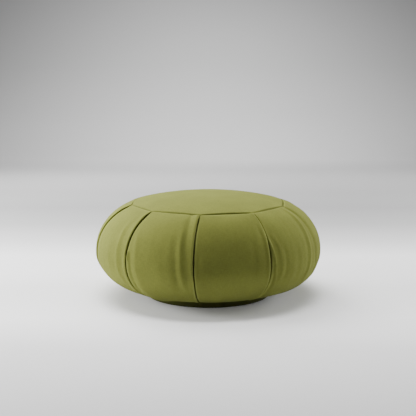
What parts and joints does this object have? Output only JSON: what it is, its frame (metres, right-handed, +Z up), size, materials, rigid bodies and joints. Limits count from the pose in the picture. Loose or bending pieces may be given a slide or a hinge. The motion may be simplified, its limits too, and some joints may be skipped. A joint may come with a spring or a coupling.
{
  "type": "zafu meditation cushion",
  "caption": "Round firm floor cushion for seated meditation, with a pleated side sewn between a crowned top round and a flat bottom round.",
  "frame": {"origin": "on the floor under the middle of the cushion, at the centre of the base", "axes": "+Z up out of the crown, -Y towards the viewer of the picture, +X to the viewer's right"},
  "size_m": [0.3608, 0.3606, 0.1638],
  "materials": {
    "cover_cloth": "matte olive green plain-woven cotton canvas with a faint short nap"
  },
  "bodies": {
    "root": {"pleated_side": "cover_cloth", "top_round": "cover_cloth", "bottom_round": "cover_cloth"}
  },
  "joints": []
}
